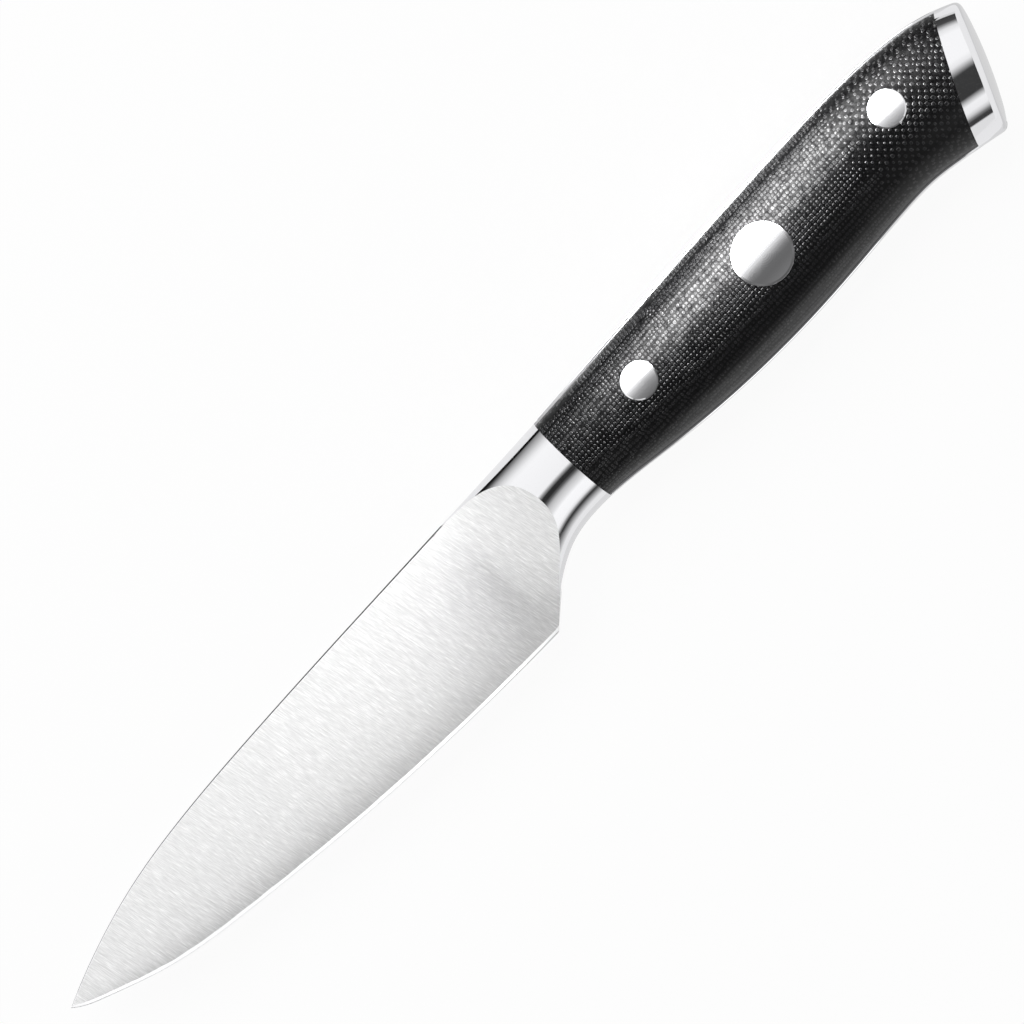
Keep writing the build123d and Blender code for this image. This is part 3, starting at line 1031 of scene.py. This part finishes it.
def hang(name, points, across, glow, cloth):
    """Puts up a net of tent cloth that only reflections see, so many points across."""
    faces = []
    for row in range(len(points) // across - 1):
        for i in range(row * across, (row + 1) * across - 1):
            faces.append((i, i + 1, i + 1 + across, i + across))
    mesh = bpy.data.meshes.new(name)
    mesh.from_pydata(metres(points).tolist(), [], faces)
    mesh.attributes.new("glow", "FLOAT", "POINT").data.foreach_set("value", glow)
    panel = new_piece(name, mesh, [cloth])
    panel.visible_camera = False
    panel.visible_diffuse = False
    panel.visible_shadow = False


def tent_panel(name, radius, hoops, cloth):
    """A panel of the light tent, arched over the knife. Each hoop has its x overhead, how much x
    grows for each degree towards the spine, and for each degree to either side, the y of its
    middle, and its bands. The panel ends just above the floor."""
    foot = math.degrees(math.acos(float(ORIGIN[2]) / radius)) - 0.2
    points, glow = [], []
    for turn in even(-foot, foot, 201):
        y = radius * math.sin(math.radians(turn))
        z = radius * math.cos(math.radians(turn))
        for x, slant, flare, middle, bands in hoops:
            points.append((x + slant * turn + flare * abs(turn), middle + y, z))
            angles, levels = np.array(bands, float).T
            glow.append(float(np.interp(turn, angles, levels)))
    hang(name, points, len(hoops), glow, cloth)


def floor_strip(name, xs, line, glows, cloth):
    """A strip of cloth on the floor along the top or the belly, which draws the outline: pairs of
    a distance out from that line and the brightness there."""
    out = 1 if line is top else -1
    z = ORIGIN[2] + STRIP_LIFT
    points = [(x, float(line(x)) + out * far, z) for x in xs for far, _ in glows]
    hang(name, points, len(glows), [level for _ in xs for _, level in glows], cloth)


def put_up_tent():
    cloth = tent_cloth()
    # Where two panels meet.
    at_bolster = (13.5, 0.014, 0.028, -8.6)
    at_cap = (92, 0.225, 0, -13.3)
    tent_panel("tent_over_blade", TENT_OVER_BLADE, [
        (-300, 0, 0, -10, TIP_BANDS), (-60, 0, 0, -10, TIP_BANDS),
        (-28, 0, 0, -10, HEEL_BANDS), (-14, 0, 0, -10, HEEL_BANDS),
    ], cloth)
    tent_panel("tent_over_bolster", TENT_OVER_HANDLE, [
        (-7, 0, 0, -8.6, BOLSTER_FRONT_BANDS), (0, 0, 0, -8.6, BOLSTER_FRONT_BANDS),
        (*at_bolster, BOLSTER_REAR_BANDS),
    ], cloth)
    tent_panel("tent_over_scales", TENT_OVER_HANDLE, [
        (*at_bolster, BEHIND_BOLSTER), (22, 0, 0, -9.2, BEFORE_FRONT_RIVET),
        (30, 0, 0, -9.8, AT_FRONT_RIVET), (43, 0, 0, -10.6, BEFORE_MIDDLE_RIVET),
        (69, 0, 0, -10.6, BEHIND_MIDDLE_RIVET), (*at_cap, BEFORE_CAP),
    ], cloth)
    tent_panel("tent_over_cap", TENT_OVER_HANDLE, [
        (*at_cap, CAP_BANDS), (103, 0.22, 0, -13.3, CAP_BANDS),
    ], cloth)
    for name, xs, line, glows in (
        ("strip_by_blade", even(-89, -1, 60), top, [(1.0, 0.1), (11.0, 0.1)]),
        ("strip_by_handle", even(20, 103, 60), top, [(-1.0, 0.3), (3.5, 0.3)]),
        ("strip_by_belly", even(20, 93, 60), belly, [
            (-1.0, 0.35), (1.0, 0.35), (1.5, 0.8), (6.0, 0.8),
        ]),
        ("strip_by_bolster", even(6, 19.9, 20), belly, [
            (-1.0, 0.45), (0.8, 0.45), (1.2, 0.8), (14.0, 0.85),
        ]),
        ("strip_over_cap", even(103, 108, 20), top, CAP_STRIP),
        ("strip_under_cap", even(93, 101, 20), belly, CAP_STRIP),
    ):
        floor_strip(name, xs, line, glows, cloth)
    # The end face is seen at a slant and shows the floor just behind it.
    butt = [(x, y, ORIGIN[2] + 0.15) for x, y in ((105, 4), (125, -4), (97, -30), (117, -38))]
    hang("card_behind_butt", butt, 2, [0.72] * 4, cloth)


def lay_floor():
    mesh = bpy.data.meshes.new("floor")
    mesh.from_pydata([(-6, -6, 0), (6, -6, 0), (6, 6, 0), (-6, 6, 0)], [], [(0, 1, 2, 3)])
    new_piece("floor", mesh, [paper_white()])


def surround_with_white():
    world = bpy.data.worlds.new("white_studio")
    scene.world = world
    world.use_nodes = True
    tree = world.node_tree
    tree.nodes.clear()
    output = add(tree, "ShaderNodeOutputWorld")
    level = blend(tree, seen_directly(tree), WORLD_LIGHT, 1.0)
    sky = add(tree, "ShaderNodeBackground", {"Color": linear("FFFFFF"), "Strength": level})
    add_surface(tree, output, sky)


def hang_lamp(name, place, size, power):
    """A soft box aimed at the knife, not itself seen: metres from the middle, metres, watts."""
    data = bpy.data.lights.new(name, "AREA")
    data.shape = "RECTANGLE"
    data.size, data.size_y = size
    data.energy = power
    lamp = bpy.data.objects.new(name, data)
    scene.collection.objects.link(lamp)
    lamp.location = STUDIO_MIDDLE + Vector(place)
    aim = STUDIO_MIDDLE - lamp.location
    lamp.rotation_euler = aim.to_track_quat("-Z", "Y").to_euler()
    lamp.visible_camera = False
    lamp.visible_glossy = False


surround_with_white()
lay_floor()
put_up_tent()
hang_lamp("softbox_spine_side", (0.0, 0.42, 0.55), (1.1, 0.62), 4.7)
hang_lamp("softbox_belly_side", (0.0, -0.55, 0.45), (1.1, 0.4), 1.2)
